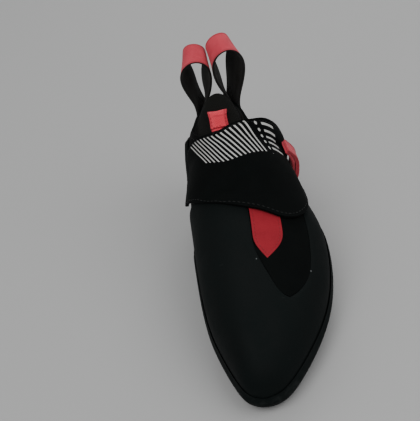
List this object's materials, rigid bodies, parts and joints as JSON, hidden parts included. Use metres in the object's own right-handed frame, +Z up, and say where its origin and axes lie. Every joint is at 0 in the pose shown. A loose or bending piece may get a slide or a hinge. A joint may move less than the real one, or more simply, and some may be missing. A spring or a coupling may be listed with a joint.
{
  "type": "climbing shoe",
  "caption": "Left climbing shoe: hollow downturned upper, rubber toe patch, half sole and heel cup, wide instep strap, webbing pull loops.",
  "frame": {"origin": "on the floor, under the middle of the shoe's bounding box", "axes": "+X towards the wearer's outer side (lateral), -Y towards the toe, +Z up from the floor"},
  "size_m": [0.0886, 0.229, 0.1421],
  "materials": {
    "microfibre": "matt black microfibre",
    "lining": "soft black knit lining",
    "rubber": "matt sticky rubber",
    "coral_panel": "matt red microfibre",
    "coral_webbing": "woven webbing"
  },
  "bodies": {
    "root": {"upper": "microfibre", "insole": "lining", "tongue": "lining", "toe_rand": "rubber", "outsole": "rubber", "heel_rand": "rubber", "vamp_panel": "microfibre", "window_panel": "coral_panel", "strap": "microfibre", "strap_pull_tab": "coral_webbing", "tongue_tab": "coral_webbing", "pull_loop_medial": "coral_webbing", "pull_loop_lateral": "coral_webbing"}
  },
  "joints": []
}
